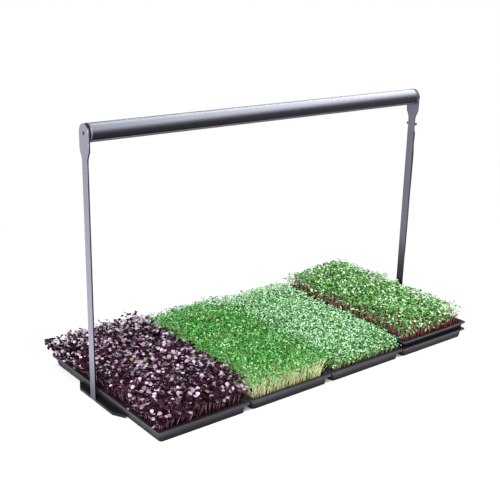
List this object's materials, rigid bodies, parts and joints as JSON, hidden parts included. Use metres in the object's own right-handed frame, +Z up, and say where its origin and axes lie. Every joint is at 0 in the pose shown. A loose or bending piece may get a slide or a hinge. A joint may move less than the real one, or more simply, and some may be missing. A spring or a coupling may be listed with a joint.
{
  "type": "microgreens growing kit",
  "caption": "Nested nursery trays of young greens side by side under a tube lamp that tilts between two flat legs, with its mains lead behind one leg.",
  "frame": {"origin": "on the surface that the kit stands on, midway between the legs and midway along the trays", "axes": "+X along the lamp towards the leg with the cord, -Y the front, where the trays slide out, +Z up"},
  "size_m": [1.1609, 0.6421, 0.7251],
  "materials": {
    "leg_paint": "satin",
    "foot_paint": "satin",
    "rubber": "matte",
    "steel": "satin",
    "housing_finish": "satin anodised",
    "cap_finish": "satin anodised",
    "diffuser_plastic": "frosted",
    "board": "matte",
    "chips": "glossy",
    "driver_case": "matte",
    "black_plastic": "matte",
    "tray_plastic": "satin",
    "medium": "matte",
    "crop_purple": "matte",
    "crop_green": "matte",
    "crop_mint": "matte",
    "crop_red_stem": "matte",
    "cord_jacket": "matte",
    "pins": "polished"
  },
  "bodies": {
    "stand": {"leg_left": "leg_paint", "leg_right": "leg_paint", "foot_left": "foot_paint", "foot_right": "foot_paint", "foot_pads": "rubber", "foot_screws": "steel", "cable_clip": "black_plastic", "cord_elbow": "black_plastic", "elbow_screws": "steel", "power_cord": "cord_jacket", "cord_coil": "cord_jacket", "cord_tail": "cord_jacket", "power_plug": "black_plastic", "plug_pins": "pins"},
    "light": {"lamp_housing": "housing_finish", "diffuser": "diffuser_plastic", "end_cap_left": "cap_finish", "end_cap_right": "cap_finish", "end_cap_screws": "steel", "pivot_washers": "black_plastic", "pivot_screw": "steel", "pivot_sleeve": "steel", "pivot_nut": "steel", "led_board": "board", "led_chips": "chips", "board_screws": "steel", "driver": "driver_case", "driver_screws": "steel", "inner_lead": "cord_jacket"},
    "reservoir_1": {"reservoir_tray_1": "tray_plastic"},
    "grower_1": {"growing_tray_1": "tray_plastic", "growing_medium_1": "medium", "microgreens_1": "crop_purple"},
    "reservoir_2": {"reservoir_tray_2": "tray_plastic"},
    "grower_2": {"growing_tray_2": "tray_plastic", "growing_medium_2": "medium", "microgreens_2": "crop_green"},
    "reservoir_3": {"reservoir_tray_3": "tray_plastic"},
    "grower_3": {"growing_tray_3": "tray_plastic", "growing_medium_3": "medium", "microgreens_3": "crop_mint"},
    "reservoir_4": {"reservoir_tray_4": "tray_plastic"},
    "grower_4": {"growing_tray_4": "tray_plastic", "growing_medium_4": "medium", "microgreens_4": "crop_red_stem"}
  },
  "joints": [
    {"name": "light_tilt", "type": "hinge", "parent": "stand", "child": "light", "pos_m": [0, 0.015, 0.701], "axis": [1, 0, 0], "range_deg": [-90, 90]},
    {"name": "reservoir_1_slide", "type": "slide", "parent": "stand", "child": "reservoir_1", "axis": [0, -1, 0], "range_m": [0, 0.3]},
    {"name": "reservoir_2_slide", "type": "slide", "parent": "stand", "child": "reservoir_2", "axis": [0, -1, 0], "range_m": [0, 0.3]},
    {"name": "reservoir_3_slide", "type": "slide", "parent": "stand", "child": "reservoir_3", "axis": [0, -1, 0], "range_m": [0, 0.3]},
    {"name": "reservoir_4_slide", "type": "slide", "parent": "stand", "child": "reservoir_4", "axis": [0, -1, 0], "range_m": [0, 0.3]},
    {"name": "grower_1_lift", "type": "slide", "parent": "reservoir_1", "child": "grower_1", "axis": [0, 0, 1], "range_m": [0, 0.15]},
    {"name": "grower_2_lift", "type": "slide", "parent": "reservoir_2", "child": "grower_2", "axis": [0, 0, 1], "range_m": [0, 0.15]},
    {"name": "grower_3_lift", "type": "slide", "parent": "reservoir_3", "child": "grower_3", "axis": [0, 0, 1], "range_m": [0, 0.15]},
    {"name": "grower_4_lift", "type": "slide", "parent": "reservoir_4", "child": "grower_4", "axis": [0, 0, 1], "range_m": [0, 0.15]}
  ]
}
